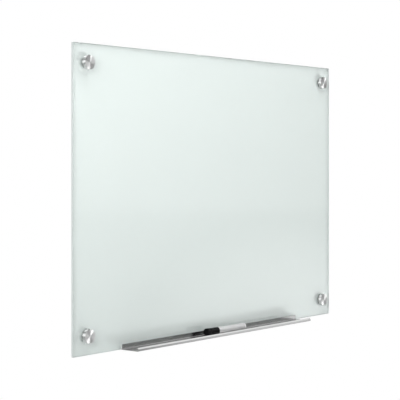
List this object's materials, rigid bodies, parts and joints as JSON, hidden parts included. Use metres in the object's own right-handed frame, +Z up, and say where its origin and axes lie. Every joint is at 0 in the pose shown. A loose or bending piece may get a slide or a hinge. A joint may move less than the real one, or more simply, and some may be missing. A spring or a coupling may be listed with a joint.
{
  "type": "magnetic glass whiteboard",
  "caption": "Frameless wall-mounted magnetic glass writing board on round standoffs, with a magnetic pen tray and a capped marker.",
  "frame": {"origin": "on the wall plane, behind the middle of the board", "axes": "+X to the viewer's right, +Z up, +Y into the wall, so the writing face looks along -Y"},
  "size_m": [0.9144, 0.0726, 0.6096],
  "materials": {
    "glass": "clear tempered glass with polished edges",
    "film": "white film bonded to the glass",
    "steel_sheet": "zinc plated sheet, dull",
    "cap_steel": "turned face with fine rings, satin side",
    "barrel_steel": "satin turned steel",
    "stud_steel": "zinc plated",
    "rubber": "black, matte",
    "nylon": "natural nylon",
    "tray_aluminium": "satin anodised, drawn along its length",
    "magnet": "flexible magnet with a white skin",
    "marker_white": "glossy white",
    "marker_black": "glossy black, ribbed along its length",
    "marker_nose": "black, matte",
    "marker_felt": "ink soaked felt",
    "marker_core": "fibre core"
  },
  "bodies": {
    "board": {"glass_pane": "glass", "backing_film": "film", "steel_sheet": "steel_sheet", "hole_sleeve_top_left": "nylon", "rear_gasket_top_left": "rubber", "standoff_barrel_top_left": "barrel_steel", "hole_sleeve_top_right": "nylon", "rear_gasket_top_right": "rubber", "standoff_barrel_top_right": "barrel_steel", "hole_sleeve_bottom_left": "nylon", "rear_gasket_bottom_left": "rubber", "standoff_barrel_bottom_left": "barrel_steel", "hole_sleeve_bottom_right": "nylon", "rear_gasket_bottom_right": "rubber", "standoff_barrel_bottom_right": "barrel_steel"},
    "front_gasket_top_left": {"front_gasket_top_left": "rubber"},
    "cap_top_left": {"cap_top_left": "cap_steel", "cap_stud_top_left": "stud_steel"},
    "front_gasket_top_right": {"front_gasket_top_right": "rubber"},
    "cap_top_right": {"cap_top_right": "cap_steel", "cap_stud_top_right": "stud_steel"},
    "front_gasket_bottom_left": {"front_gasket_bottom_left": "rubber"},
    "cap_bottom_left": {"cap_bottom_left": "cap_steel", "cap_stud_bottom_left": "stud_steel"},
    "front_gasket_bottom_right": {"front_gasket_bottom_right": "rubber"},
    "cap_bottom_right": {"cap_bottom_right": "cap_steel", "cap_stud_bottom_right": "stud_steel"},
    "tray": {"pen_tray": "tray_aluminium", "tray_magnet_left": "magnet", "tray_magnet_centre": "magnet", "tray_magnet_right": "magnet"},
    "marker": {"marker_barrel": "marker_white", "marker_tail_plug": "marker_white", "marker_nose": "marker_nose", "marker_nib": "marker_felt", "marker_reservoir": "marker_core"},
    "marker_cap": {"marker_cap": "marker_black"}
  },
  "joints": [
    {"name": "cap_travel_top_left", "type": "slide", "parent": "board", "child": "front_gasket_top_left", "axis": [0, -1, 0], "range_m": [0, 0.009]},
    {"name": "cap_turn_top_left", "type": "hinge", "parent": "front_gasket_top_left", "child": "cap_top_left", "pos_m": [-0.4191, -0.0279, 0.2667], "axis": [0, -1, 0], "range_deg": [0, 2160]},
    {"name": "cap_travel_top_right", "type": "slide", "parent": "board", "child": "front_gasket_top_right", "axis": [0, -1, 0], "range_m": [0, 0.009]},
    {"name": "cap_turn_top_right", "type": "hinge", "parent": "front_gasket_top_right", "child": "cap_top_right", "pos_m": [0.4191, -0.0279, 0.2667], "axis": [0, -1, 0], "range_deg": [0, 2160]},
    {"name": "cap_travel_bottom_left", "type": "slide", "parent": "board", "child": "front_gasket_bottom_left", "axis": [0, -1, 0], "range_m": [0, 0.009]},
    {"name": "cap_turn_bottom_left", "type": "hinge", "parent": "front_gasket_bottom_left", "child": "cap_bottom_left", "pos_m": [-0.4191, -0.0279, -0.2667], "axis": [0, -1, 0], "range_deg": [0, 2160]},
    {"name": "cap_travel_bottom_right", "type": "slide", "parent": "board", "child": "front_gasket_bottom_right", "axis": [0, -1, 0], "range_m": [0, 0.009]},
    {"name": "cap_turn_bottom_right", "type": "hinge", "parent": "front_gasket_bottom_right", "child": "cap_bottom_right", "pos_m": [0.4191, -0.0279, -0.2667], "axis": [0, -1, 0], "range_deg": [0, 2160]},
    {"name": "tray_slide", "type": "slide", "parent": "board", "child": "tray", "axis": [1, 0, 0], "range_m": [-0.138, 0.154]},
    {"name": "marker_lift", "type": "slide", "parent": "tray", "child": "marker", "axis": [0, 0, 1], "range_m": [0, 0.12]},
    {"name": "marker_cap_pull", "type": "slide", "parent": "marker", "child": "marker_cap", "axis": [-1, 0, 0], "range_m": [0, 0.04]}
  ],
  "couplings": [
    {"joint": "cap_turn_top_left", "follows": "cap_travel_top_left", "rad_per_m": 4188.8},
    {"joint": "cap_turn_top_right", "follows": "cap_travel_top_right", "rad_per_m": 4188.8},
    {"joint": "cap_turn_bottom_left", "follows": "cap_travel_bottom_left", "rad_per_m": 4188.8},
    {"joint": "cap_turn_bottom_right", "follows": "cap_travel_bottom_right", "rad_per_m": 4188.8}
  ]
}
